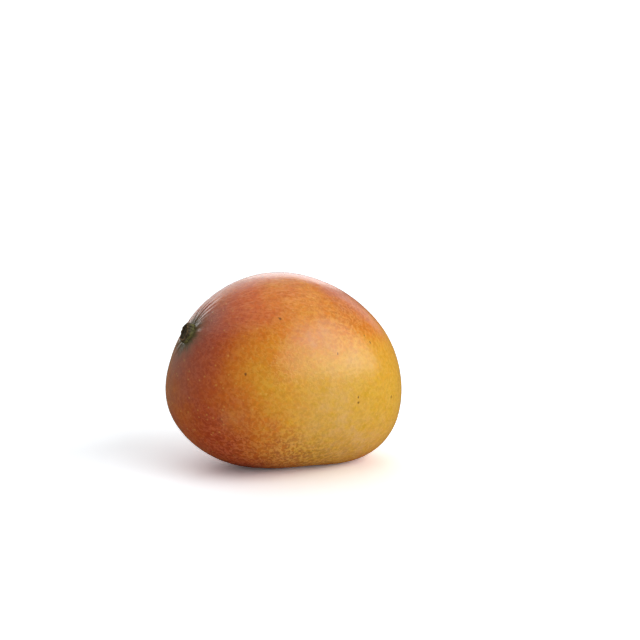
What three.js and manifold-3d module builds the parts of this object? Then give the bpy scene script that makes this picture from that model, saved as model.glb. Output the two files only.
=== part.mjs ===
// A whole ripe mango, lying on its belly edge, with the corky scar that its broken stalk has left.
// Millimetres, +Z up. The fruit lies along X, with its stalk end towards -X, its tip end towards +X
// and its two cheeks facing -Y and +Y. The origin is on the surface that the fruit rests on, under
// the middle of its outline.

import * as THREE from "three";
import { mergeVertices } from "three/addons/utils/BufferGeometryUtils.js";
import Module from "manifold-3d";

const wasm = await Module();
wasm.setup();

// The plain body, before its swells: half sizes from stalk end to tip, back to belly, cheek to cheek.
const HALF_LENGTH = 55;
const HALF_WIDTH = 44.5;
const HALF_THICKNESS = 43;
const PLUMPNESS = 2.1; // 2 is a plain ellipsoid, and more is squarer
const AXIS_TILT = 8; // degrees by which the stalk end is raised as the fruit lies
const REST_HEIGHT = 44.5; // from the middle of the body down to the flat that it rests on

// Swells and hollows of the body. "at" is the angle in the fruit's plane of symmetry, in degrees
// from the stalk end over the back, "side" is the angle out of that plane towards +Y, "lift" is
// how far the skin is raised there, and "spread" is the angle over which that dies away.
const SWELLS = [
  { name: "belly shoulder", at: -42, side: 0, lift: 5.6, spread: 38 },
  { name: "sinus before the tip", at: -112, side: 0, lift: -2.8, spread: 17 },
  { name: "tip", at: -151, side: 0, lift: 8.4, spread: 32 },
  { name: "stalk end", at: -15, side: 0, lift: 2.8, spread: 21 },
  { name: "back", at: 77, side: 0, lift: 5.4, spread: 45 },
  { name: "near cheek", at: -60, side: -62, lift: 0.8, spread: 30 },
  { name: "far cheek", at: 30, side: 66, lift: 0.7, spread: 34 },
];

// The stalk scar, a corky stub with a slanting broken face, and the shallow dish that it sits in.
const STALK_AT = 17; // degrees from the long axis over the back
const DISH_DEPTH = 0.8;
const DISH_SPREAD = 9; // degrees
const SCAR_RADIUS = 5;
const SCAR_ROOT = 1.4; // how deep the scar's underside is below the skin
const FACE_HEIGHT = 2.5; // from the skin to the middle of the rim of the broken face
const FACE_LEAN = 0.5; // how much higher the face is on the back's side, as a share of its height
const FACE_RADIUS = 4.2;
const CUP_DEPTH = 0.9; // how far the face is sunk inside its rim
const PITH_RADIUS = 1.3; // the ring round the stalk's pith, in the middle of the face
const SOCKET_GAP = 0.3; // between the scar and the skin round it
const SOCKET_TOP = 6; // the socket's cutter stands this far out of the skin

// How finely the solids are faceted.
const ROWS = 46;
const COLUMNS = 72;
const SCAR_COLUMNS = 60;

const DEGREE = Math.PI / 180;

// Unit vector at an angle in the plane of symmetry and an angle out of it, in the part's frame.
function direction(at, side) {
  const lie = (at + AXIS_TILT) * DEGREE;
  const out = side * DEGREE;
  const flat = Math.cos(out);
  return new THREE.Vector3(-Math.cos(lie) * flat, Math.sin(out), Math.sin(lie) * flat);
}

const longAxis = direction(0, 0);
const backAxis = direction(90, 0);
const cheekAxis = new THREE.Vector3(0, 1, 0);
const stalkAxis = direction(STALK_AT, 0);
const swellAxes = SWELLS.map((swell) => direction(swell.at, swell.side));

// 1 on the axis, dying away round it over the spread in degrees.
function bump(toward, axis, spread) {
  const away = toward.angleTo(axis) / DEGREE / spread;
  return Math.exp(-away * away);
}

// Distance from the middle of the body to its skin, without the dish at the stalk.
function bodyRadius(toward) {
  const length = Math.abs(toward.dot(longAxis)) / HALF_LENGTH;
  const width = Math.abs(toward.dot(backAxis)) / HALF_WIDTH;
  const thickness = Math.abs(toward.dot(cheekAxis)) / HALF_THICKNESS;
  const sum = length ** PLUMPNESS + width ** PLUMPNESS + thickness ** PLUMPNESS;
  return SWELLS.reduce(
    (reach, swell, i) => reach + swell.lift * bump(toward, swellAxes[i], swell.spread),
    sum ** (-1 / PLUMPNESS),
  );
}

// Point of the skin in a direction from the middle of the body, which is REST_HEIGHT up.
function skinPoint(toward) {
  const reach = bodyRadius(toward) - DISH_DEPTH * bump(toward, stalkAxis, DISH_SPREAD);
  return toward.clone().multiplyScalar(reach).add(new THREE.Vector3(0, 0, REST_HEIGHT));
}

// A closed skin over a lattice: point(row, column) for the inner rows, with one point at each end.
function closedLattice(rows, columns, point, firstEnd, lastEnd) {
  const positions = [firstEnd.toArray()];
  for (let row = 1; row < rows; row++) {
    for (let column = 0; column < columns; column++) {
      positions.push(point(row / rows, column / columns).toArray());
    }
  }
  positions.push(lastEnd.toArray());
  const last = positions.length - 1;
  const at = (row, column) => 1 + (row - 1) * columns + (column % columns);
  const index = [];
  for (let column = 0; column < columns; column++) {
    index.push(0, at(1, column), at(1, column + 1));
    for (let row = 1; row < rows - 1; row++) {
      index.push(at(row, column), at(row + 1, column), at(row + 1, column + 1));
      index.push(at(row, column), at(row + 1, column + 1), at(row, column + 1));
    }
    index.push(last, at(rows - 1, column + 1), at(rows - 1, column));
  }
  const geometry = new THREE.BufferGeometry();
  geometry.setAttribute("position", new THREE.Float32BufferAttribute(positions.flat(), 3));
  geometry.setIndex(index);
  return geometry;
}

// The whole skin, in rings round the stalk that lie closer together near it.
function skinGeometry() {
  const across = cheekAxis;
  const along = new THREE.Vector3().crossVectors(across, stalkAxis);
  const toward = (share, turn) => {
    const away = Math.PI * share ** 1.25;
    const round = 2 * Math.PI * turn;
    return stalkAxis
      .clone()
      .multiplyScalar(Math.cos(away))
      .addScaledVector(along, Math.sin(away) * Math.cos(round))
      .addScaledVector(across, Math.sin(away) * Math.sin(round));
  };
  return closedLattice(
    ROWS,
    COLUMNS,
    (share, turn) => skinPoint(toward(share, turn)),
    skinPoint(stalkAxis),
    skinPoint(stalkAxis.clone().negate()),
  );
}

// The scar's ragged, five-lobed outline, as a share of its radius.
function scarOutline(round) {
  const lobes = 0.07 * Math.cos(5 * round + 0.4) + 0.04 * Math.cos(2 * round + 1.1);
  return 1 + lobes + 0.025 * Math.cos(9 * round + 2) + 0.015 * Math.cos(14 * round);
}

// A body of rings about +Z with the scar's outline. Each ring is a radius, a height and how far
// it follows the ragged outline, from 0, round, to 1. What is above the skin rises towards +X.
function ringBody(rings, start, end, lean) {
  return closedLattice(
    rings.length + 1,
    SCAR_COLUMNS,
    (share, turn) => {
      const ring = rings[Math.round(share * (rings.length + 1)) - 1];
      const round = -2 * Math.PI * turn;
      const radius = ring.radius * (1 + ring.ragged * (scarOutline(round) - 1));
      const x = radius * Math.cos(round);
      const rise = ring.height > 0 ? 1 + (lean * x) / SCAR_RADIUS : 1;
      return new THREE.Vector3(x, radius * Math.sin(round), ring.height * rise);
    },
    new THREE.Vector3(0, 0, start),
    new THREE.Vector3(0, 0, end),
  );
}

// The corky scar, from the middle of its underside out, up its flank and in over its broken face.
function scarGeometry() {
  const sunk = FACE_HEIGHT - CUP_DEPTH;
  const rings = [
    { radius: SCAR_RADIUS * 0.45, height: -SCAR_ROOT, ragged: 1 },
    { radius: SCAR_RADIUS * 0.9, height: -SCAR_ROOT, ragged: 1 },
    { radius: SCAR_RADIUS, height: -SCAR_ROOT * 0.4, ragged: 1 },
    { radius: SCAR_RADIUS, height: FACE_HEIGHT * 0.15, ragged: 1 },
    { radius: SCAR_RADIUS * 0.93, height: FACE_HEIGHT * 0.5, ragged: 1 },
    { radius: FACE_RADIUS * 1.04, height: FACE_HEIGHT * 0.85, ragged: 1 },
    { radius: FACE_RADIUS * 0.94, height: FACE_HEIGHT, ragged: 1 },
    { radius: FACE_RADIUS * 0.78, height: FACE_HEIGHT * 0.94, ragged: 0.8 },
    { radius: (FACE_RADIUS + PITH_RADIUS) * 0.5, height: sunk, ragged: 0.5 },
    { radius: PITH_RADIUS * 1.2, height: sunk * 1.12, ragged: 0.2 },
    { radius: PITH_RADIUS * 0.8, height: sunk * 1.12, ragged: 0.2 },
    { radius: PITH_RADIUS * 0.4, height: sunk * 0.9, ragged: 0 },
  ];
  return ringBody(rings, -SCAR_ROOT, sunk * 0.85, FACE_LEAN);
}

// What is taken out of the fruit for the scar: its outline with the gap round and under it.
function socketGeometry() {
  const wide = SCAR_RADIUS + SOCKET_GAP * 1.2;
  const floor = -SCAR_ROOT - SOCKET_GAP;
  const rings = [
    { radius: wide * 0.5, height: floor, ragged: 1 },
    { radius: wide, height: floor, ragged: 1 },
    { radius: wide, height: SOCKET_TOP, ragged: 1 },
    { radius: wide * 0.5, height: SOCKET_TOP, ragged: 1 },
  ];
  return ringBody(rings, floor, SOCKET_TOP, 0);
}

// Where the scar sits: a point of the skin and the way that the skin faces there.
function stalkSeat() {
  const step = 2;
  const point = skinPoint(stalkAxis);
  const ahead = skinPoint(direction(STALK_AT + step, 0));
  const behind = skinPoint(direction(STALK_AT - step, 0));
  const facing = new THREE.Vector3().crossVectors(cheekAxis, ahead.sub(behind)).normalize();
  if (facing.dot(stalkAxis) < 0) facing.negate();
  const turn = new THREE.Quaternion().setFromUnitVectors(new THREE.Vector3(0, 0, 1), facing);
  return { point, turn };
}

// A closed geometry as a solid, and a solid as a geometry.
function toSolid(geometry) {
  const merged = mergeVertices(geometry);
  return new wasm.Manifold(
    new wasm.Mesh({
      numProp: 3,
      vertProperties: merged.attributes.position.array,
      triVerts: new Uint32Array(merged.index.array),
    }),
  );
}

function toGeometry(solid) {
  const { vertProperties, triVerts } = solid.getMesh();
  const geometry = new THREE.BufferGeometry();
  geometry.setAttribute("position", new THREE.BufferAttribute(vertProperties, 3));
  geometry.setIndex(new THREE.BufferAttribute(triVerts, 1));
  return geometry;
}

// The fruit: the skin, less the flat that it rests on and the socket of its scar.
function fruitGeometry(seat) {
  const span = 4 * HALF_LENGTH;
  const ground = new THREE.BoxGeometry(span, span, span).translate(0, 0, -span / 2);
  ["normal", "uv"].forEach((name) => ground.deleteAttribute(name));
  const place = new THREE.Matrix4().compose(seat.point, seat.turn, new THREE.Vector3(1, 1, 1));
  const socket = socketGeometry().applyMatrix4(place);
  const whole = toSolid(skinGeometry());
  return toGeometry(whole.subtract(toSolid(ground)).subtract(toSolid(socket)));
}

const seat = stalkSeat();

const fruit = new THREE.Mesh(
  fruitGeometry(seat),
  new THREE.MeshStandardMaterial({ color: 0xd98b3c, roughness: 0.42, metalness: 0 }),
);
fruit.name = "fruit";

const scar = new THREE.Mesh(
  scarGeometry(),
  new THREE.MeshStandardMaterial({ color: 0x2e2a20, roughness: 0.85, metalness: 0 }),
);
scar.name = "stalk_scar";
scar.position.copy(seat.point);
scar.quaternion.copy(seat.turn);

// The mango, moved along X and Y so that the middle of its outline is over the origin.
const mango = new THREE.Group();
mango.add(fruit, scar);
mango.updateMatrixWorld(true);
const middle = new THREE.Box3().setFromObject(mango, true).getCenter(new THREE.Vector3());
mango.position.set(-middle.x, -middle.y, 0);

export default mango;
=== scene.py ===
# A whole ripe mango lying on its belly edge, with its blush, lenticels and bloom (partly painted
# sheen and painted light), and the corky scar of its stalk. Metres, +Z up: the stalk end points
# towards -X and the tip towards +X.

import math

import bpy
from mathutils import Matrix, Vector, noise


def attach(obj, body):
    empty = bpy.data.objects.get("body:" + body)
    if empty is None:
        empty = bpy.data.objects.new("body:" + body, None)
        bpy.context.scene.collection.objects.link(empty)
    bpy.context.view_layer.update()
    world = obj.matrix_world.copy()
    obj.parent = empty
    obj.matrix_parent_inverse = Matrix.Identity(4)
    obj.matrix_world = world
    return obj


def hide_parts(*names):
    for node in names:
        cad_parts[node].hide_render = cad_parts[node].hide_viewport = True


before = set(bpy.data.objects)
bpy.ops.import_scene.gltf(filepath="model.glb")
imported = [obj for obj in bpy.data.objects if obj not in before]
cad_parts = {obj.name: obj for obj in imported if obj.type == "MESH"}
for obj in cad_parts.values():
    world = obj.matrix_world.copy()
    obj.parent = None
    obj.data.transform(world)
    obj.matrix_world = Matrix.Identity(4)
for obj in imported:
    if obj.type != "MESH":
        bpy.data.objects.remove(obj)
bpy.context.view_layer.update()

MM = 0.001

# The body of the fruit, in millimetres and degrees, as in the part's own source.
HALF_LENGTH = 55.0
HALF_WIDTH = 44.5
HALF_THICKNESS = 43.0
PLUMPNESS = 2.1
AXIS_TILT = 8.0
REST_HEIGHT = 44.5
MIDDLE_X = 1.06
SWELLS = (
    # name, angle from the stalk end over the back, angle towards +Y, lift, spread in degrees
    ("Belly Shoulder", -42, 0, 5.6, 38),
    ("Sinus", -112, 0, -2.8, 17),
    ("Tip", -151, 0, 8.4, 32),
    ("Stalk End", -15, 0, 2.8, 21),
    ("Back", 77, 0, 5.4, 45),
    ("Near Cheek", -60, -62, 0.8, 30),
    ("Far Cheek", 30, 66, 0.7, 34),
)
STALK_AT = 17.0
DISH_DEPTH = 0.8
DISH_SPREAD = 9.0


def direction(at, side):
    """Unit vector at an angle in the fruit's plane of symmetry and an angle out of it."""
    lie = math.radians(at + AXIS_TILT)
    out = math.radians(side)
    flat = math.cos(out)
    return Vector((-math.cos(lie) * flat, math.sin(out), math.sin(lie) * flat))


LONG_AXIS = direction(0, 0)
BACK_AXIS = direction(90, 0)
CHEEK_AXIS = Vector((0, 1, 0))
STALK_AXIS = direction(STALK_AT, 0)
ACROSS_STALK = CHEEK_AXIS.cross(STALK_AXIS)  # square to the stalk and to the cheeks' axis
MIDDLE = Vector((MIDDLE_X, 0, REST_HEIGHT))


# Node trees

class Field:
    """An output in a node tree. Arithmetic on it adds the nodes that do the sum."""

    def __init__(self, tree, socket):
        self.tree = tree
        self.socket = socket

    def calc(self, operation, *others):
        return add(self.tree, "ShaderNodeMath", self, *others, operation=operation)

    def vector(self, operation, *others, output=0):
        return add(
            self.tree, "ShaderNodeVectorMath", self, *others, operation=operation, output=output
        )

    def either(self, operation, other):
        """The operation of the node for vectors or of the one for numbers, as this output needs."""
        holds_vector = self.socket.type in ("VECTOR", "RGBA")
        return (self.vector if holds_vector else self.calc)(operation, other)

    def __add__(self, other):
        return self.either("ADD", other)

    def __sub__(self, other):
        return self.either("SUBTRACT", other)

    def __mul__(self, other):
        return self.calc("MULTIPLY", other)

    def __truediv__(self, other):
        return self.calc("DIVIDE", other)

    def __pow__(self, other):
        return self.calc("POWER", other)

    def scaled(self, factor):
        return scaled_vector(self.tree, self, factor)

    def dot(self, other):
        return self.vector("DOT_PRODUCT", other, output=1)

    def unit(self):
        return self.vector("NORMALIZE")

    def sine(self):
        return self.calc("SINE")

    def swing(self):
        """How far a noise is above or below its middle value."""
        return self - 0.5

    def bell(self, spread):
        """1 where the value is 0, dying away over the spread."""
        return ((self / spread) ** 2.0 * -1.0).calc("EXPONENT")

    def ramp(self, low, high, start=0.0, end=1.0):
        """Goes smoothly from start to end as the value goes from low to high."""
        node = self.tree.nodes.new("ShaderNodeMapRange")
        node.interpolation_type = "SMOOTHSTEP"
        for socket, value in zip(node.inputs, (self, low, high, start, end)):
            give(self.tree, socket, value)
        return Field(self.tree, node.outputs[0])

    def fade(self, low, high, start=1.0):
        """Goes smoothly from start to 0 as the value goes from low to high."""
        return self.ramp(low, high, start, 0.0)


def give(tree, socket, value):
    """Sets a socket to a value, or joins an output to it."""
    if isinstance(value, Field):
        tree.links.new(value.socket, socket)
    else:
        socket.default_value = value


def add(tree, kind, *values, output=0, **settings):
    """Adds a node with these settings and these values on its first inputs, and gives an output."""
    node = tree.nodes.new(kind)
    for name, setting in settings.items():
        setattr(node, name, setting)
    for socket, value in zip(node.inputs, values):
        give(tree, socket, value)
    return Field(tree, node.outputs[output])


def add_named(tree, kind, output, values, **settings):
    """As add, with the values by the names of their inputs."""
    node = tree.nodes.new(kind)
    for name, setting in settings.items():
        setattr(node, name, setting)
    for name, value in values.items():
        give(tree, node.inputs[name], value)
    return Field(tree, node.outputs[output])


def scaled_vector(tree, vector, factor):
    """A vector, fixed or from another node, made longer by a factor."""
    return add_named(
        tree, "ShaderNodeVectorMath", 0, {"Vector": vector, "Scale": factor}, operation="SCALE"
    )


def sum_of(fields):
    """Adds up a list of outputs."""
    total = fields[0]
    for field in fields[1:]:
        total = total + field
    return total


def off_stalk_axis(tree, toward):
    """The way in which a direction leans away from the stalk's axis, square to that axis."""
    along = scaled_vector(tree, STALK_AXIS, toward.dot(STALK_AXIS))
    return (toward - along).unit()


def turn_round_stalk(tree, toward):
    """The turn of a direction about the stalk's axis, in radians."""
    across = toward.dot(CHEEK_AXIS)
    along = toward.dot(ACROSS_STALK)
    return add(tree, "ShaderNodeMath", across, along, operation="ARCTAN2")


def new_group(name, kind, inputs, outputs):
    """A node group with named inputs, each with its value, and its outputs. Gives its inputs."""
    tree = bpy.data.node_groups.new(name, kind)
    forms = {int: "NodeSocketInt", float: "NodeSocketFloat", Vector: "NodeSocketVector"}
    for label, value in inputs.items():
        form = forms[type(value)]
        socket = tree.interface.new_socket(label, in_out="INPUT", socket_type=form)
        socket.default_value = value
    for label, form in outputs.items():
        tree.interface.new_socket(label, in_out="OUTPUT", socket_type="NodeSocket" + form)
    source = tree.nodes.new("NodeGroupInput")
    return tree, {label: Field(tree, source.outputs[label]) for label in inputs}


def end_group(tree, **results):
    """Joins the results to the group's outputs, by name with _ for a space."""
    sink = tree.nodes.new("NodeGroupOutput")
    for label, result in results.items():
        give(tree, sink.inputs[label.replace("_", " ")], result)


def use_group(tree, group, **values):
    """Places a group with its own values, by name with _ for a space, and gives its outputs."""
    in_geometry = tree.bl_idname == "GeometryNodeTree"
    node = tree.nodes.new("GeometryNodeGroup" if in_geometry else "ShaderNodeGroup")
    node.node_tree = group
    for label, value in values.items():
        give(tree, node.inputs[label.replace("_", " ")], value)
    return {socket.name: Field(tree, socket) for socket in node.outputs}


def angle_group(kind):
    """The angle, in degrees, between a direction and an axis."""
    tree, given = new_group(
        "angle_from_axis",
        kind,
        {"Toward": Vector((0, 0, 1)), "Axis": Vector((0, 0, 1))},
        {"Angle": "Float"},
    )
    cosine = given["Toward"].dot(given["Axis"])
    cosine = cosine.calc("MINIMUM", 1.0).calc("MAXIMUM", -1.0)
    end_group(tree, Angle=cosine.calc("ARCCOSINE") * math.degrees(1))
    return tree


ANGLE_GROUPS = {kind: angle_group(kind) for kind in ("GeometryNodeTree", "ShaderNodeTree")}


def angle_from(tree, toward, axis):
    """Places the angle group that belongs in this kind of tree."""
    return use_group(tree, ANGLE_GROUPS[tree.bl_idname], Toward=toward, Axis=axis)["Angle"]


# The shape of the skin

SKIN_FINENESS = 7  # subdivisions of the sphere that the skin is shaped from
STALK_CLOSENESS = 1.3  # how much closer the skin's points lie near the stalk
WAVE_HEIGHT = 0.35  # low, broad unevenness of the skin
WAVE_SCALE = 2.2
WAVE_DETAIL = 2.0
WAVE_SEED = 3.0
PUCKER_HEIGHT = 0.2  # folds that run out from the scar
PUCKER_FROM = 9.0  # degrees from the stalk's axis
PUCKER_SPREAD = 6.0
PUCKERS = ((9.0, 0.8, 0.6), (14.0, 0.0, 0.4))  # folds in a full turn, start, share of the height
CREASE_HEIGHT = 0.16  # finer folds above the scar
CREASE_COUNT = 29.0  # in a full turn
CREASE_SWAY = 0.7  # how far, in radians of a crease's own wave, the creases sway as they run out
CREASE_SWAY_RATE = 0.35  # radians of sway for each degree from the stalk
CREASE_AREA = (31, 6, 10)  # angle over the back, angle towards +Y, spread
UNDER_SCAR_DEPTH = 1.9  # how far the skin dips under the scar
UNDER_SCAR_EDGE = (3.8, 4.8)  # degrees over which it comes back up
GROUND = Vector((-1000, -1000, 0))  # no point goes below it, and X and Y are left as they are
SKIN_FINISH = ("SetShadeSmooth", "RealizeInstances", "SetMaterial")  # last nodes of the tree


def skin_sizes():
    """The named inputs of the skin's tree, with their values."""
    sizes = {
        "Fineness": SKIN_FINENESS,
        "Half Length": HALF_LENGTH,
        "Half Width": HALF_WIDTH,
        "Half Thickness": HALF_THICKNESS,
        "Plumpness": PLUMPNESS,
        "Dish Depth": DISH_DEPTH,
        "Dish Spread": DISH_SPREAD,
        "Wave Height": WAVE_HEIGHT,
        "Pucker Height": PUCKER_HEIGHT,
        "Crease Height": CREASE_HEIGHT,
        "Seed": WAVE_SEED,
    }
    sizes.update({name + " Lift": float(lift) for name, _, _, lift, _ in SWELLS})
    return sizes


def drawn_to_stalk(tree, start):
    """Turns a direction towards the stalk's axis, so that the dish and the folds there are fine."""
    away = angle_from(tree, start, STALK_AXIS) / 180.0
    near = away ** STALK_CLOSENESS * math.pi
    ahead = scaled_vector(tree, STALK_AXIS, near.calc("COSINE"))
    return ahead + off_stalk_axis(tree, start).scaled(near.sine())


def body_reach_nodes(tree, given, toward):
    """Distance from the middle of the body to its skin, without the dish at the stalk."""
    halves = (
        (LONG_AXIS, given["Half Length"]),
        (BACK_AXIS, given["Half Width"]),
        (CHEEK_AXIS, given["Half Thickness"]),
    )
    shares = [toward.dot(axis).calc("ABSOLUTE") / half for axis, half in halves]
    total = sum_of([share ** given["Plumpness"] for share in shares])
    reach = total ** (given["Plumpness"].calc("POWER", -1.0) * -1.0)
    for name, at, side, _, spread in SWELLS:
        off = angle_from(tree, toward, direction(at, side))
        reach = reach + off.bell(float(spread)) * given[name + " Lift"]
    return reach


def crease_wave(turn, from_stalk):
    """Grows by a full circle from one crease to the next, with a sway as they run out."""
    return turn * CREASE_COUNT + (from_stalk * CREASE_SWAY_RATE).sine() * CREASE_SWAY


def fold_height(tree, given, toward, from_stalk):
    """Puckers all round the scar, and the finer creases above it."""
    turn = turn_round_stalk(tree, toward)
    waves = [(turn * count + start).sine() * share for count, start, share in PUCKERS]
    ring = (from_stalk - PUCKER_FROM).bell(PUCKER_SPREAD)
    puckers = sum_of(waves) * ring * given["Pucker Height"]
    at, side, spread = CREASE_AREA
    near = angle_from(tree, toward, direction(at, side)).bell(float(spread))
    creases = crease_wave(turn, from_stalk).sine() * near * given["Crease Height"]
    return puckers + creases


def wave_height(tree, given, toward):
    """Low, broad unevenness, up to the wave height above and below the body."""
    values = {"Vector": toward, "W": given["Seed"], "Scale": WAVE_SCALE, "Detail": WAVE_DETAIL}
    wave = add_named(tree, "ShaderNodeTexNoise", 0, values, noise_dimensions="4D")
    return wave.swing() * given["Wave Height"] * 2.0


def skin_tree():
    """Shapes a sphere into the mango's skin, by the distance of the skin in each direction."""
    tree, given = new_group(
        "mango_skin", "GeometryNodeTree", skin_sizes(), {"Geometry": "Geometry"}
    )
    sphere = tree.nodes.new("GeometryNodeMeshIcoSphere")
    give(tree, sphere.inputs["Subdivisions"], given["Fineness"])
    start = add(tree, "GeometryNodeInputPosition").unit()
    toward = drawn_to_stalk(tree, start)
    from_stalk = angle_from(tree, toward, STALK_AXIS)

    reach = body_reach_nodes(tree, given, toward)
    reach = reach - from_stalk.bell(given["Dish Spread"]) * given["Dish Depth"]
    reach = reach - from_stalk.fade(*UNDER_SCAR_EDGE, UNDER_SCAR_DEPTH)
    reach = reach + fold_height(tree, given, toward, from_stalk)
    reach = reach + wave_height(tree, given, toward)

    place = toward.scaled(reach) + MIDDLE
    lifted = place.vector("MAXIMUM", GROUND)
    moved = tree.nodes.new("GeometryNodeSetPosition")
    tree.links.new(sphere.outputs["Mesh"], moved.inputs["Geometry"])
    give(tree, moved.inputs["Position"], lifted.scaled(MM))
    end_geometry(tree, moved.outputs["Geometry"], "mango_skin")
    return tree


def end_geometry(tree, geometry, material):
    """Makes a tree's geometry smooth and real, and gives it its material."""
    for kind in SKIN_FINISH:
        node = tree.nodes.new("GeometryNode" + kind)
        tree.links.new(geometry, node.inputs["Geometry"])
        geometry = node.outputs["Geometry"]
    node.inputs["Material"].default_value = bpy.data.materials[material]
    end_group(tree, Geometry=Field(tree, geometry))


def plain_from_nodes(name, tree, sizes):
    """Runs a geometry tree with these sizes and keeps its result as a plain mesh."""
    holder = bpy.data.objects.new(name + "_holder", bpy.data.meshes.new(name + "_holder"))
    bpy.context.scene.collection.objects.link(holder)
    modifier = holder.modifiers.new("shape", "NODES")
    modifier.node_group = tree
    for socket in tree.interface.items_tree:
        if socket.in_out == "INPUT":
            modifier[socket.identifier] = sizes[socket.name]
    evaluated = holder.evaluated_get(bpy.context.evaluated_depsgraph_get())
    mesh = bpy.data.meshes.new_from_object(evaluated)
    mesh.name = name
    holder.modifiers.remove(modifier)
    bpy.data.objects.remove(holder)
    return placed(bpy.data.objects.new(name, mesh))


def placed(item):
    """Puts an object into the scene."""
    bpy.context.scene.collection.objects.link(item)
    return item


# What the materials share

def new_material(name):
    material = bpy.data.materials.new(name)
    material.use_nodes = True
    material.node_tree.nodes.clear()
    tree = material.node_tree
    shader = tree.nodes.new("ShaderNodeBsdfPrincipled")
    output = tree.nodes.new("ShaderNodeOutputMaterial")
    tree.links.new(shader.outputs["BSDF"], output.inputs["Surface"])
    return tree, shader


def place_in_mm(tree):
    """The place of a point on its piece, in millimetres."""
    return add_named(tree, "ShaderNodeTexCoord", "Object", {}).scaled(1 / MM)


def mixed(tree, share, below, above, blend_type="MIX"):
    """Goes from one colour to another as the share goes from 0 to 1."""
    node = tree.nodes.new("ShaderNodeMix")
    node.data_type = "RGBA"
    node.blend_type = blend_type
    give(tree, node.inputs[0], share)
    for socket, value in zip(node.inputs[6:8], (below, above)):
        give(tree, socket, value if isinstance(value, Field) else (*value, 1))
    return Field(tree, node.outputs[2])


def colour_ramp(tree, share, stops):
    """Colour by the share, through stops of (share, colour)."""
    node = tree.nodes.new("ShaderNodeValToRGB")
    marks = node.color_ramp.elements
    while len(marks) < len(stops):
        marks.new(0.5)
    for mark, (place, colour) in zip(marks, stops):
        mark.position = place
        mark.color = (*colour, 1)
    give(tree, node.inputs[0], share)
    return Field(tree, node.outputs[0])


def noise_at(tree, place, scale, detail, roughness, output=0):
    """Noise around 0.5, or a colour of three such noises from output 1. The scale is in cells to
    the millimetre."""
    values = {"Vector": place, "Scale": scale, "Detail": detail, "Roughness": roughness}
    return add_named(tree, "ShaderNodeTexNoise", output, values)


def cells_at(tree, place, scale):
    """Distance from the middles of scattered cells, and a number of each cell's own."""
    node = tree.nodes.new("ShaderNodeTexVoronoi")
    give(tree, node.inputs["Vector"], place)
    give(tree, node.inputs["Scale"], scale)
    number = Field(tree, node.outputs["Color"]).dot(Vector((1, 0, 0)))
    return Field(tree, node.outputs["Distance"]), number


def finish_surface(tree, shader, colour, roughness, height):
    """Gives a shader its colour, its roughness and the bumps of its surface, in millimetres."""
    give(tree, shader.inputs["Base Color"], colour)
    give(tree, shader.inputs["Roughness"], roughness)
    values = {"Strength": 1.0, "Distance": 1.0, "Height": height * MM}
    give(tree, shader.inputs["Normal"], add_named(tree, "ShaderNodeBump", 0, values))


# The colours of the skin

# Areas of the skin: angle over the back, angle towards +Y, spread, strength.
BLUSH_AREAS = (
    (16, -11, 42, 0.89),
    (-83, 30, 50, 1.5),
    (-135, -14, 9, 0.3),
    (-34, -14, 14, 0.1),
    (50, -18, 14, 0.07),
    (83, 7, 28, 0.65),
    (121, -17, 31, 0.62),
    (-45, -34, 28, 0.47),
    (79, -52, 24, 0.3),
    (42, -20, 14, 0.10),
    (4, -44, 15, -0.13),
    (60, 50, 34, 0.45),
)
# Bloom areas: real waxy bloom, with paler patches that are painted sheen and painted light.
BLOOM_AND_SHEEN_AREAS = (
    (108, -24, 20, 0.18),
    (140, -42, 16, -0.12),
    (86, -53, 12, 0.22),
    (138, -59, 6, 0.2),
    (-120, -51, 39, 0.28),
    (-27, -38, 6, 0.25),
    (84, -60, 9, 0.22),
    (-150, -76, 16, 0.26),
    (-140, -36, 14, 0.24),
    (110, 45, 34, 0.3),
    (-30, 60, 30, 0.25),
)
# A brighter, redder patch on the upper back that stands for light falling there: painted light.
CORAL_LIGHT_AREAS = ((52, -16, 16, 0.5),)
DULL_AREAS = (
    (8, 3, 20, 0.5),
    (29, -9, 9, 0.2),
    (-10, -2, 12, 0.2),
)
RUSSET_AREAS = (
    (-82, -38, 24, 0.55),
    (-45, -30, 18, 0.22),
    (-120, -25, 22, 0.35),
    (112, -38, 18, 0.2),
    (-95, 35, 30, 0.45),
)
COMBED_AREAS = ((64, -16, 33, 0.9),)
CREASED_AREAS = ((31, 4, 7, 1.0),)
MOTTLED_AREAS = (
    (-75, -34, 28, 0.7),
    (-80, 40, 28, 0.7),
)

# Brown specks that stand out: angle over the back, angle towards +Y.
SPECKS = ((8, -45), (58, -40), (-175, -62), (-169, -61), (-177, -34), (67, -4))

BLUSH_STOPS = (
    (0.0, (0.72, 0.40, 0.022)),
    (0.2, (0.79, 0.36, 0.020)),
    (0.42, (0.78, 0.235, 0.014)),
    (0.65, (0.66, 0.135, 0.008)),
    (0.85, (0.53, 0.064, 0.009)),
    (1.0, (0.45, 0.028, 0.006)),
)
CORAL_LIGHT_COLOUR = (0.95, 0.17, 0.01)
BLOOM_AND_SHEEN_COLOUR = (0.80, 0.56, 0.36)
DULL_COLOUR = (0.42, 0.29, 0.23)
STRAW_COLOUR = (0.86, 0.56, 0.14)  # of the paler patches of pigment
STROKE_COLOUR = (0.93, 0.66, 0.13)  # of a stroke on yellow skin
STROKE_COLOUR_ON_BLUSH = (0.88, 0.27, 0.14)
DASH_COLOUR = (0.92, 0.47, 0.17)
LENTICEL_COLOUR = (0.94, 0.60, 0.14)
SPECK_COLOUR = (0.17, 0.062, 0.012)
# Painted shade in the bottoms of the creases above the scar.
CREASE_SHADE_COLOUR = (0.07, 0.055, 0.03)
HALO_COLOUR = (0.30, 0.17, 0.11)  # of the outer ring round the scar
STALK_GREEN = (0.12, 0.105, 0.045)  # of the skin right beside the scar

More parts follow.
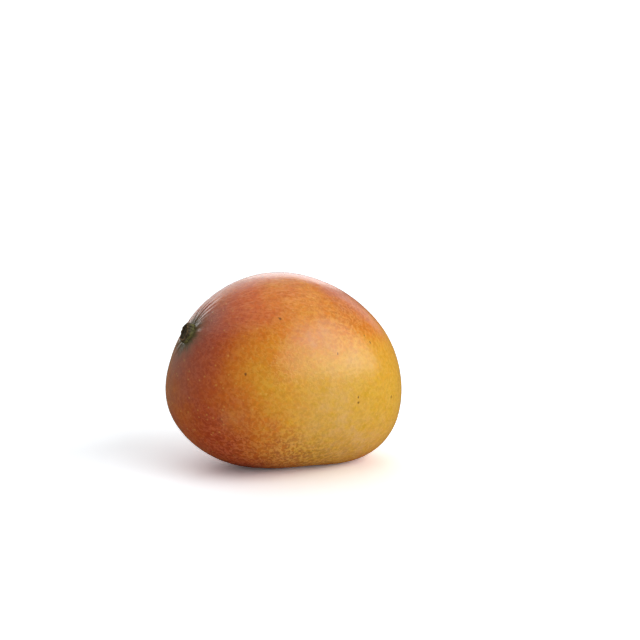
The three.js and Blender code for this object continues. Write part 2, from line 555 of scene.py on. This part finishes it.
# Noises of the skin: scale, detail, roughness.
BLOTCH_NOISE = (0.055, 3.0, 0.55)
STREAK_NOISE = (0.4, 5.0, 0.62)
GRAIN_NOISE = (1.6, 2.0, 0.5)
PEBBLE_NOISE = (0.58, 4.0, 0.64)
DASH_NOISE = (0.85, 3.0, 0.55)
WARP_NOISE = (0.6, 2.0, 0.5)
STROKE_NOISE = (0.38, 2.0, 0.45)
PATCHY_NOISE = (0.16, 4.0, 0.6)

# Cells and shifts of the skin's patterns.
PATCH_SCALE = 0.6  # cells to the millimetre
LENTICEL_SCALE = 0.34
SPECK_SCALE = 0.09
SPECK_STRETCH = Vector((1, 1, 0.5))  # half as fine in height, so specks are twice as high as wide
PATCH_WARP = 2.4  # millimetres over which the warp moves the cells
STROKE_WARP = 2.0
STREAK_LENGTH = 0.5  # scale of the streaks along the stalk's lines, to that across them
DASH_LENGTH = 0.33
RAGGEDNESS = 20.0  # degrees over which the blotches move the edge of an area
SPECK_RAGGEDNESS = 2.0
CREASE_RAGGEDNESS = 1.5  # radians of a crease's own wave over which the streaks move it
HALO_STREAKS = 10.0  # degrees over which the streaks move the rings round the scar
HALO_BLOTCHES = 8.0

# The two values of a noise, a cell or an angle between which each mark comes in or dies away.
STROKE_WIDTH = (0.03, 0.10)
STROKE_PLACES = (0.38, 0.50)
DASH_PLACES = (0.54, 0.62)
LENTICEL_SIZE = (0.08, 0.23)
LENTICEL_CHOICE = (0.3, 0.6)
SCATTERED_SPECK_SIZE = (0.02, 0.055)
SPECK_SIZE = (0.35, 1.0)  # degrees
BLOOM_AND_SHEEN_PATCHES = (0.22, 0.78)
CREASE_WIDTH = (-0.3, -0.9)
BLUSHED = (0.3, 0.9)  # blush over which the strokes turn from yellow to red
HALO_EDGE = (8.0, 17.0)  # degrees from the stalk's axis
STALK_GREEN_EDGE = (5.5, 11.5)
PIGMENT_SWING = (-0.25, 0.25)
PIGMENT_TONE = (0.77, 1.17)  # the darkest and the palest pigment, as shares of its colour

# How much each mark shows, as a share.
MOTTLE_SHARE = 0.31
PEBBLE_SHARE = 0.75
COMBED_SHARE = 0.8
PATCH_SHARE = 0.12
TONE_SHARE = 0.55  # of the uneven pigment, and more on russet skin
RUSSET_DARKNESS = 0.36
STRAW_SHARE = 0.05
STROKE_SHARE = 0.16
RUSSET_STROKE_SHARE = 0.72
DASH_SHARE = 0.30
LENTICEL_SHARE = 0.36
PATCHY_SHARE = 0.6  # of the bloom's patches, and the rest is streaks
SPECK_SHARE = 0.85
CREASE_SHADE_SHARE = 0.6
HALO_SHARE = 0.6
STALK_GREEN_SHARE = 0.95

# Roughness, and heights of the fine relief in millimetres.
SKIN_ROUGHNESS = 0.145
BLOOM_ROUGHNESS = 0.12
GRAIN_ROUGHNESS = 0.08
LENTICEL_HEIGHT = 0.03
STROKE_HEIGHT = 0.03
PEBBLE_HEIGHT = 0.06
GRAIN_HEIGHT = 0.02
CREASE_DEPTH = 0.12


def area_group():
    """An area of the fruit round an axis: 1 on the axis, dying away over Spread degrees."""
    tree, given = new_group(
        "area",
        "ShaderNodeTree",
        {"Toward": Vector((0, 0, 1)), "Axis": Vector((0, 0, 1)), "Spread": 30.0, "Ragged": 0.0},
        {"Mask": "Float"},
    )
    off = angle_from(tree, given["Toward"], given["Axis"])
    off = (off + given["Ragged"]).calc("MAXIMUM", 0.0)
    end_group(tree, Mask=off.bell(given["Spread"]))
    return tree


def stalk_lines_group():
    """Where a point is by its angle from the stalk and its turn round it. Lines is a place in
    millimetres in which patterns are drawn out along the lines that run from stalk to tip."""
    tree, given = new_group(
        "stalk_lines",
        "ShaderNodeTree",
        {"Place": Vector((0, 0, 0)), "Drawn Out": STREAK_LENGTH},
        {"Toward": "Vector", "From Stalk": "Float", "Lines": "Vector", "Turn": "Float"},
    )
    toward = (given["Place"] - MIDDLE).unit()
    off = angle_from(tree, toward, STALK_AXIS)
    aside = off_stalk_axis(tree, toward)
    arc = off * given["Drawn Out"] * (HALF_WIDTH * math.radians(1))
    lines = aside.scaled(HALF_WIDTH) + scaled_vector(tree, STALK_AXIS, arc)
    turn = turn_round_stalk(tree, aside)
    end_group(tree, Toward=toward, From_Stalk=off, Lines=lines, Turn=turn)
    return tree


class SkinPattern:
    """What the skin's colours and relief share: places on it, and the noises and masks over it."""

    def __init__(self, tree):
        self.tree = tree
        self.area = area_group()
        self.place = place_in_mm(tree)
        self.find_lines()
        self.make_noises()
        self.blush = self.spread_over(BLUSH_AREAS).calc("MINIMUM", 1.0)
        self.russet = self.spread_over(RUSSET_AREAS)
        self.combed = self.spread_over(COMBED_AREAS)
        self.strokes = self.stroke_mask()
        self.lenticels = self.lenticel_mask()
        self.bloom_and_sheen = self.bloom_and_sheen_mask()
        self.creases = self.crease_mask()

    def find_lines(self):
        """Where each point is: its direction, its angle from the stalk, its turn and its lines."""
        group = stalk_lines_group()
        short = use_group(self.tree, group, Place=self.place, Drawn_Out=STREAK_LENGTH)
        long = use_group(self.tree, group, Place=self.place, Drawn_Out=DASH_LENGTH)
        self.toward = short["Toward"]
        self.from_stalk = short["From Stalk"]
        self.turn = short["Turn"]
        self.lines = short["Lines"]
        self.long_lines = long["Lines"]

    def make_noises(self):
        """The noises that more than one colour or mask uses."""
        self.blotch = noise_at(self.tree, self.place, *BLOTCH_NOISE)
        self.ragged = self.blotch.swing() * RAGGEDNESS
        self.streak = noise_at(self.tree, self.lines, *STREAK_NOISE)
        self.grain = noise_at(self.tree, self.place, *GRAIN_NOISE)
        self.pebble = noise_at(self.tree, self.place, *PEBBLE_NOISE)
        self.dashes = noise_at(self.tree, self.long_lines, *DASH_NOISE)
        warp = noise_at(self.tree, self.place, *WARP_NOISE, output=1)
        self.shift = warp - Vector((0.5, 0.5, 0.5))
        self.warped = self.place + self.shift.scaled(PATCH_WARP)

    def area_mask(self, at, side, spread, strength):
        """One area, with a ragged edge."""
        outputs = use_group(
            self.tree,
            self.area,
            Toward=self.toward,
            Axis=direction(at, side),
            Spread=float(spread),
            Ragged=self.ragged,
        )
        return outputs["Mask"] * strength

    def spread_over(self, areas):
        """Adds up areas."""
        return sum_of([self.area_mask(*area) for area in areas])

    def stroke_mask(self):
        """Worm-like strokes, where a noise crosses its middle value."""
        wander = noise_at(self.tree, self.place + self.shift.scaled(STROKE_WARP), *STROKE_NOISE)
        lines = wander.swing().calc("ABSOLUTE").fade(*STROKE_WIDTH)
        return lines * self.pebble.ramp(*STROKE_PLACES)

    def lenticel_mask(self):
        """Small pale dots in some of the cells."""
        distance, number = cells_at(self.tree, self.place, LENTICEL_SCALE)
        return distance.fade(*LENTICEL_SIZE) * number.ramp(*LENTICEL_CHOICE)

    def bloom_and_sheen_mask(self):
        """The pale, waxy bloom in patches, partly painted sheen and painted light."""
        patchy = noise_at(self.tree, self.place, *PATCHY_NOISE) * PATCHY_SHARE
        patchy = patchy + self.streak * (1 - PATCHY_SHARE)
        return patchy.ramp(*BLOOM_AND_SHEEN_PATCHES) * self.spread_over(BLOOM_AND_SHEEN_AREAS)

    def crease_mask(self):
        """The bottoms of the creases above the scar, darkened with painted shade and sunk by the
        bump.
        """
        wave = crease_wave(self.turn, self.from_stalk)
        bent = wave + self.streak.swing() * CREASE_RAGGEDNESS
        return bent.sine().ramp(*CREASE_WIDTH) * self.spread_over(CREASED_AREAS)

    def speck_mask(self):
        """Small brown specks: scattered ones, higher than wide, and those that stand out."""
        upright = self.warped.vector("MULTIPLY", SPECK_STRETCH)
        distance, _ = cells_at(self.tree, upright, SPECK_SCALE)
        specks = distance.fade(*SCATTERED_SPECK_SIZE)
        ragged = self.pebble.swing() * SPECK_RAGGEDNESS
        for at, side in SPECKS:
            off = angle_from(self.tree, self.toward, direction(at, side)) + ragged
            specks = specks.calc("MAXIMUM", off.fade(*SPECK_SIZE))
        return specks

    def over(self, share, colour, top):
        """Lays a colour over another, by its share."""
        return mixed(self.tree, share, colour, top)


def blushed(pattern):
    """Yellow ground, orange and red blush, and a brighter coral patch on the upper back, which is
    painted light.
    """
    mottled = pattern.spread_over(MOTTLED_AREAS) + 1.0
    mottle = pattern.streak.swing() * mottled * MOTTLE_SHARE
    colour = colour_ramp(pattern.tree, pattern.blush + mottle, BLUSH_STOPS)
    # The coral patch is painted light on the upper back.
    return pattern.over(pattern.spread_over(CORAL_LIGHT_AREAS), colour, CORAL_LIGHT_COLOUR)


def with_uneven_pigment(pattern, colour):
    """Small darker and paler patches, and russet skin darker between its strokes."""
    _, patch = cells_at(pattern.tree, pattern.warped, PATCH_SCALE)
    uneven = pattern.pebble.swing() * PEBBLE_SHARE
    uneven = uneven + pattern.dashes.swing() * (pattern.combed * COMBED_SHARE)
    uneven = uneven + patch.swing() * PATCH_SHARE
    between = pattern.strokes * -1.0 + 1.0
    tone = uneven.ramp(*PIGMENT_SWING, *PIGMENT_TONE)
    tone = tone - pattern.russet * RUSSET_DARKNESS * between
    colour = mixed(pattern.tree, pattern.russet + TONE_SHARE, colour, tone, "MULTIPLY")
    return pattern.over(uneven.ramp(*PIGMENT_SWING, 0.0, STRAW_SHARE), colour, STRAW_COLOUR)


def with_marks(pattern, colour):
    """Strokes, the fine dashes over the back, and the lenticels."""
    on_blush = pattern.blush.ramp(*BLUSHED)
    stroke = mixed(pattern.tree, on_blush, STROKE_COLOUR, STROKE_COLOUR_ON_BLUSH)
    strokes = pattern.strokes * (pattern.russet * RUSSET_STROKE_SHARE + STROKE_SHARE)
    colour = pattern.over(strokes, colour, stroke)
    dashes = pattern.dashes.ramp(*DASH_PLACES) * pattern.combed
    colour = pattern.over(dashes * DASH_SHARE, colour, DASH_COLOUR)
    return pattern.over(pattern.lenticels * LENTICEL_SHARE, colour, LENTICEL_COLOUR)


def with_stalk_colours(pattern, colour):
    """Painted shade in the creases above the scar, and two rings round it, with ragged edges."""
    # Painted shade in the bottoms of the creases.
    colour = pattern.over(pattern.creases * CREASE_SHADE_SHARE, colour, CREASE_SHADE_COLOUR)
    ragged = pattern.streak.swing() * HALO_STREAKS + pattern.blotch.swing() * HALO_BLOTCHES
    ring = pattern.from_stalk + ragged
    colour = pattern.over(ring.fade(*HALO_EDGE, HALO_SHARE), colour, HALO_COLOUR)
    return pattern.over(ring.fade(*STALK_GREEN_EDGE, STALK_GREEN_SHARE), colour, STALK_GREEN)


def skin_height(pattern):
    """The fine relief of the skin, in millimetres."""
    marks = pattern.lenticels * LENTICEL_HEIGHT + pattern.strokes * STROKE_HEIGHT
    texture = pattern.pebble * PEBBLE_HEIGHT + pattern.grain * GRAIN_HEIGHT
    return marks + texture - pattern.creases * CREASE_DEPTH


def skin_roughness(pattern):
    """Rougher where there is bloom, and a little uneven all over."""
    uneven = pattern.bloom_and_sheen * BLOOM_ROUGHNESS + pattern.grain * GRAIN_ROUGHNESS
    return uneven + SKIN_ROUGHNESS


def skin_material():
    """The skin, in layers from its ground colour to the rings round the scar."""
    tree, shader = new_material("mango_skin")
    pattern = SkinPattern(tree)
    colour = blushed(pattern)
    colour = with_uneven_pigment(pattern, colour)
    colour = with_marks(pattern, colour)
    # Bloom, partly painted sheen and painted light laid over the skin's colour.
    colour = pattern.over(pattern.bloom_and_sheen, colour, BLOOM_AND_SHEEN_COLOUR)
    colour = pattern.over(pattern.spread_over(DULL_AREAS), colour, DULL_COLOUR)
    colour = pattern.over(pattern.speck_mask() * SPECK_SHARE, colour, SPECK_COLOUR)
    colour = with_stalk_colours(pattern, colour)
    finish_surface(tree, shader, colour, skin_roughness(pattern), skin_height(pattern))


skin_material()
skin = plain_from_nodes("mango_skin", skin_tree(), skin_sizes())
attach(skin, "root")
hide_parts("fruit")


# The scar of the stalk

SCAR_COLUMNS = 144
SCAR_RINGS = 60
SCAR_RADIUS = 5.0
SCAR_LOBES = ((5, 0.07, 0.4), (2, 0.04, 1.1), (9, 0.025, 2), (14, 0.015, 0))  # count, size, start
RAGGED_RADIUS = (1.2, 3.6)  # from where the rings are round to where they follow the lobes
FACE_LEAN = 0.5  # how much higher the broken face is on the back's side, as a share of its height
FLANK_RADIUS = 4.2  # beyond it is the flank, and within it the broken face
OUT_OF_SKIN = (-0.2, 0.4)  # heights between which crumbs and cracks grow to their full size
CRUMB_HEIGHT = 0.3
CRUMB_SCALE = 0.9
CRUMB_NOISE = (1.0, 2.0, 4)  # falling off of the finer layers, step in their scale, their number
PITH_RADIUS = 1.0
CRACK_WIDTH = 0.16
CRACK_WANDER = 0.12
CRACK_WANDER_RATE = 2.3  # radians of wandering for each millimetre out
CRACK_DIFFERENCE = 5  # radians of wandering by which a crack starts off from one a radian away
CRACK_START = (2.2, 3.2)  # distances from the axis between which the cracks grow to their depth
FLANK_CRACK_PULL = 0.06  # share by which a crack 1 mm deep draws the flank in
FLANK_CRACK_DEPTH = 0.35  # how deep a crack is on the flank, as a share of its depth on the face
# Painted shade in the cracks, for each millimetre of their depth.
CRACK_SHADE_DARKNESS = 2.2  # for each millimetre of a crack's depth, where 1 is wholly dark
CRACKS = (
    # turn round the scar, in radians, and depth in millimetres
    (0.2, 0.3),
    (1.05, 0.45),
    (1.9, 0.3),
    (2.55, 0.4),
    (3.5, 0.45),
    (4.25, 0.3),
    (5.2, 0.45),
    (5.8, 0.3),
)

# The scar from the middle of its broken face outwards: distance from its axis and height, in
# millimetres. Heights above the skin are those at its middle, and rise towards the back.
SCAR_PROFILE = (
    (0.0, 1.3), (0.45, 1.4), (0.8, 1.65), (1.15, 1.85), (1.5, 1.8), (1.9, 1.55), (2.5, 1.5),
    (3.0, 1.75), (3.4, 2.2), (3.75, 2.47), (4.05, 2.47), (4.3, 2.2), (4.5, 1.7), (4.65, 1.2),
    (4.8, 0.75), (4.93, 0.35), (5.0, 0.0), (5.0, -0.5), (4.6, -0.9), (4.5, -1.4), (3.0, -1.5),
    (0.0, -1.5),
)

CORK_DARK = (0.022, 0.015, 0.010)
CORK_BROWN = (0.085, 0.055, 0.025)
FLANK_GREEN = (0.21, 0.20, 0.06)
CREST_HIGHLIGHT_COLOUR = (0.36, 0.23, 0.09)
CRACK_SHADE_COLOUR = (0.012, 0.009, 0.007)
COARSE_NOISE = (0.9, 4.0, 0.6)
FINE_NOISE = (3.5, 3.0, 0.6)
BROWN_PATCHES = (0.35, 0.65)
GREEN_PATCHES = (0.25, 0.55)
GREEN_HEIGHTS = (0.2, 2.3)  # millimetres above the skin over which the green dies away
GREEN_SHARE = 0.8
CREST_HIGHLIGHT_HEIGHTS = (2.1, 2.6)
CREST_HIGHLIGHT_SHARE = 0.7
CORK_ROUGHNESS = 0.62
FINE_ROUGHNESS = 0.25
COARSE_HEIGHT = 0.25  # millimetres
FINE_HEIGHT = 0.12


def cork_material():
    """Dark cork with a green flank, a painted highlight on its broken crest, and painted shade in
    its cracks and pith hollow.
    """
    tree, shader = new_material("stalk_cork")
    place = place_in_mm(tree)
    rise = add(tree, "ShaderNodeAttribute", attribute_name="rise", output=2)
    crack = add(tree, "ShaderNodeAttribute", attribute_name="crack", output=2)
    coarse = noise_at(tree, place, *COARSE_NOISE)
    fine = noise_at(tree, place, *FINE_NOISE)
    colour = mixed(tree, coarse.ramp(*BROWN_PATCHES), CORK_DARK, CORK_BROWN)
    flank = rise.fade(*GREEN_HEIGHTS) * coarse.ramp(*GREEN_PATCHES)
    colour = mixed(tree, flank * GREEN_SHARE, colour, FLANK_GREEN)
    # Painted highlight on the crest of the broken rim.
    crest_highlight = (rise + fine.swing()).ramp(*CREST_HIGHLIGHT_HEIGHTS)
    colour = mixed(tree, crest_highlight * CREST_HIGHLIGHT_SHARE, colour, CREST_HIGHLIGHT_COLOUR)
    # Painted shade in the cracks and the pith hollow, darker the deeper they go.
    colour = mixed(tree, crack, colour, CRACK_SHADE_COLOUR)
    roughness = fine * FINE_ROUGHNESS + CORK_ROUGHNESS
    height = coarse * COARSE_HEIGHT + fine * FINE_HEIGHT
    finish_surface(tree, shader, colour, roughness, height)
    return bpy.data.materials["stalk_cork"]


def body_reach(toward):
    """Distance from the middle of the body to its skin in one direction, with the stalk's dish."""
    parts = ((LONG_AXIS, HALF_LENGTH), (BACK_AXIS, HALF_WIDTH), (CHEEK_AXIS, HALF_THICKNESS))
    total = sum((abs(toward.dot(axis)) / half) ** PLUMPNESS for axis, half in parts)
    lifts = [(direction(at, side), lift, spread) for _, at, side, lift, spread in SWELLS]
    lifts.append((STALK_AXIS, -DISH_DEPTH, DISH_SPREAD))
    swell = sum(
        lift * math.exp(-((math.degrees(toward.angle(axis, 0)) / spread) ** 2))
        for axis, lift, spread in lifts
    )
    return total ** (-1 / PLUMPNESS) + swell


def skin_point(at):
    """The point of the skin at an angle from the stalk end over the back, in the middle."""
    toward = direction(at, 0)
    return MIDDLE + toward * body_reach(toward)


def scar_seat():
    """The scar's place on the skin, with +Z turned to face out of it."""
    step = 2
    slope = skin_point(STALK_AT + step) - skin_point(STALK_AT - step)
    facing = CHEEK_AXIS.cross(slope).normalized()
    if facing.dot(STALK_AXIS) < 0:
        facing.negate()
    turn = Vector((0, 0, 1)).rotation_difference(facing)
    return Matrix.Translation(skin_point(STALK_AT)) @ turn.to_matrix().to_4x4()


def share_between(value, low, high):
    """0 up to low, 1 from high on, and straight between them."""
    return min(1.0, max(0.0, (value - low) / (high - low)))


def scar_outline(turn):
    """The scar's ragged outline, as a share of its radius."""
    return 1 + sum(size * math.cos(count * turn + start) for count, size, start in SCAR_LOBES)


def scar_profile(share):
    """Distance from the scar's axis and height, at a share of the way along its profile."""
    along = share * (len(SCAR_PROFILE) - 1)
    step = min(int(along), len(SCAR_PROFILE) - 2)
    part = along - step
    (near, low), (far, high) = SCAR_PROFILE[step:step + 2]
    return near + (far - near) * part, low + (high - low) * part


def crack_depth(radius, turn):
    """How deep the cracks that run out from the middle are at a point of the scar."""
    depth = 0.0
    for at, deepest in CRACKS:
        off = (turn - at + math.pi) % (2 * math.pi) - math.pi
        off += CRACK_WANDER * math.sin(radius * CRACK_WANDER_RATE + at * CRACK_DIFFERENCE)
        depth += deepest * math.exp(-((off * radius / CRACK_WIDTH) ** 2))
    return depth * share_between(radius, *CRACK_START)


def scar_point(share, turn):
    """A point of the scar, with its height and its painted shade in a crack or the pith hollow,
    from 0 to 1.
    """
    radius, height = scar_profile(share)
    wide = radius * (1 + share_between(radius, *RAGGED_RADIUS) * (scar_outline(turn) - 1))
    place = Vector((wide * math.cos(turn), wide * math.sin(turn), height))
    if height > 0:
        place.z *= 1 + FACE_LEAN * place.x / SCAR_RADIUS
    grown = share_between(height, *OUT_OF_SKIN)
    crack = crack_depth(radius, turn) * grown
    crumbs = noise.fractal(place * CRUMB_SCALE, *CRUMB_NOISE) * CRUMB_HEIGHT * grown
    if radius > FLANK_RADIUS:
        place *= 1 - FLANK_CRACK_PULL * crack
        place.z += crumbs - crack * FLANK_CRACK_DEPTH
    else:
        place.z += crumbs - crack
    on_face = share < 0.5
    # Painted shade in the pith hollow at the middle of the broken face.
    pith_shade = max(0.0, 1 - radius / PITH_RADIUS) * on_face
    return place, height, min(1.0, crack * CRACK_SHADE_DARKNESS + pith_shade)


def scar_faces(last):
    """Faces between the rings of the scar, with fans round its first and last points."""
    def at(ring, column):
        return 1 + (ring - 1) * SCAR_COLUMNS + column % SCAR_COLUMNS

    faces = []
    for column in range(SCAR_COLUMNS):
        after = column + 1
        faces.append((0, at(1, column), at(1, after)))
        for ring in range(1, SCAR_RINGS - 1):
            out = ring + 1
            faces.append((at(ring, column), at(out, column), at(out, after), at(ring, after)))
        faces.append((last, at(SCAR_RINGS - 1, after), at(SCAR_RINGS - 1, column)))
    return faces


def make_scar():
    points = []
    rises = []
    crack_shades = []
    for ring in range(SCAR_RINGS + 1):
        share = ring / SCAR_RINGS
        count = 1 if ring in (0, SCAR_RINGS) else SCAR_COLUMNS
        for column in range(count):
            place, height, crack = scar_point(share, 2 * math.pi * column / SCAR_COLUMNS)
            points.append(place)
            rises.append(height)
            crack_shades.append(crack)
    mesh = bpy.data.meshes.new("stalk_scar_cork")
    mesh.from_pydata(points, [], scar_faces(len(points) - 1))
    mesh.transform(Matrix.Scale(MM, 4) @ scar_seat())
    for name, values in (("rise", rises), ("crack", crack_shades)):
        mesh.attributes.new(name, "FLOAT", "POINT").data.foreach_set("value", values)
    mesh.shade_smooth()
    mesh.materials.append(cork_material())
    return placed(bpy.data.objects.new("stalk_scar_cork", mesh))


scar = make_scar()
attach(scar, "root")
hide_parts("stalk_scar")


# Floor, light and camera

FLOOR_HALF = 40.0  # metres
FLOOR_SEEN = (1.50, 1.56, 1.60)  # overexposed, as a studio's ground is in a photograph
FLOOR_UNSEEN = (0.72, 0.64, 0.52)  # of the light that it throws back at the fruit
FLOOR_MIRRORED = (0.35, 0.24, 0.14)
FLOOR_GLOW = 0.03
WORLD_SEEN = 1.0
WORLD_LIT = 0.155

LIGHTS = (
    # name, angle round from the front towards +X, angle above level, width, strength
    ("key", 39, 12, 84, 2.88),
    ("low_light", 50, 4, 50, 0.5),
    ("back_light", 157, 18, 24, 0.15),
    ("edge_light", -169, 17, 17, 0.10),
    ("rim_light", 168, 20, 48, 0.56),
    ("side_light", 129, 19, 24, 0.11),
    ("top_light", -150, 77, 84, 0.84),
)

# The camera, at the height and side that the fruit is seen from.
CAMERA_AZIMUTH = -21.0
CAMERA_ELEVATION = 12.0
CAMERA_DISTANCE = 0.9
CAMERA_RANGE = (0.05, 50)
FOCAL_PIXELS = 1845.0
FRAME_PIXELS = 640.0
SENSOR_WIDTH = 36.0
MIDDLE_PIXEL = (286.4, 374.4)  # where the middle of the fruit's body is seen


def way_out(azimuth, elevation):
    """Unit vector from the fruit outwards, by the angle round from -Y and the angle above level."""
    turn = math.radians(azimuth)
    rise = math.radians(elevation)
    flat = math.cos(rise)
    return Vector((math.sin(turn) * flat, -math.cos(turn) * flat, math.sin(rise)))


def floor_material():
    """Matt and pale, and seen as bright as a studio's overexposed ground."""
    material = bpy.data.materials.new("pale_floor")
    material.use_nodes = True
    tree = material.node_tree
    tree.nodes.clear()
    shader = tree.nodes.new("ShaderNodeBsdfDiffuse")
    output = tree.nodes.new("ShaderNodeOutputMaterial")
    path = tree.nodes.new("ShaderNodeLightPath")
    seen = Field(tree, path.outputs["Is Camera Ray"])
    mirrored = Field(tree, path.outputs["Is Glossy Ray"])
    colour = mixed(tree, seen, FLOOR_UNSEEN, FLOOR_SEEN)
    give(tree, shader.inputs["Color"], mixed(tree, mirrored, colour, FLOOR_MIRRORED))
    glow = tree.nodes.new("ShaderNodeEmission")
    give(tree, glow.inputs["Strength"], seen * FLOOR_GLOW)
    both = tree.nodes.new("ShaderNodeAddShader")
    tree.links.new(shader.outputs["BSDF"], both.inputs[0])
    tree.links.new(glow.outputs["Emission"], both.inputs[1])
    tree.links.new(both.outputs["Shader"], output.inputs["Surface"])
    return material


def make_floor():
    mesh = bpy.data.meshes.new("floor")
    signs = ((-1, -1), (1, -1), (1, 1), (-1, 1))
    corners = [(x * FLOOR_HALF, y * FLOOR_HALF, 0) for x, y in signs]
    mesh.from_pydata(corners, [], [(0, 1, 2, 3)])
    mesh.materials.append(floor_material())
    placed(bpy.data.objects.new("floor", mesh))


def make_light(name, azimuth, elevation, width, strength):
    """A far soft light, whose width is the angle that it is seen at."""
    light = bpy.data.lights.new(name, "SUN")
    light.angle = math.radians(width)
    light.energy = strength
    lamp = placed(bpy.data.objects.new(name, light))
    lamp.rotation_euler = way_out(azimuth, elevation).to_track_quat("Z", "Y").to_euler()


def make_world(seen, lit):
    """White behind the fruit, and an even, weaker light on it."""
    world = bpy.data.worlds.new("studio")
    world.use_nodes = True
    tree = world.node_tree
    tree.nodes.clear()
    background = tree.nodes.new("ShaderNodeBackground")
    output = tree.nodes.new("ShaderNodeOutputWorld")
    tree.links.new(background.outputs[0], output.inputs[0])
    camera_ray = add(tree, "ShaderNodeLightPath")
    give(tree, background.inputs["Strength"], camera_ray * (seen - lit) + lit)
    background.inputs["Color"].default_value = (1, 1, 1, 1)
    bpy.context.scene.world = world


def make_camera():
    data = bpy.data.cameras.new("camera")
    data.sensor_width = SENSOR_WIDTH
    data.lens = FOCAL_PIXELS / FRAME_PIXELS * SENSOR_WIDTH
    data.clip_start, data.clip_end = CAMERA_RANGE
    camera = placed(bpy.data.objects.new("camera", data))
    back = way_out(CAMERA_AZIMUTH, CAMERA_ELEVATION)
    camera.location = MIDDLE * MM + back * CAMERA_DISTANCE

    # The camera is turned so that the middle of the fruit falls on its own pixel.
    half = FRAME_PIXELS / 2
    right = (MIDDLE_PIXEL[0] - half) / FOCAL_PIXELS
    up = (half - MIDDLE_PIXEL[1]) / FOCAL_PIXELS
    aside = Vector((0, 0, -1)).rotation_difference(Vector((right, up, -1)))
    camera.rotation_mode = "QUATERNION"
    camera.rotation_quaternion = (-back).to_track_quat("-Z", "Y") @ aside.inverted()
    bpy.context.scene.camera = camera


make_floor()
for light in LIGHTS:
    make_light(*light)
make_world(WORLD_SEEN, WORLD_LIT)
make_camera()
bpy.context.scene.view_settings.view_transform = "Standard"
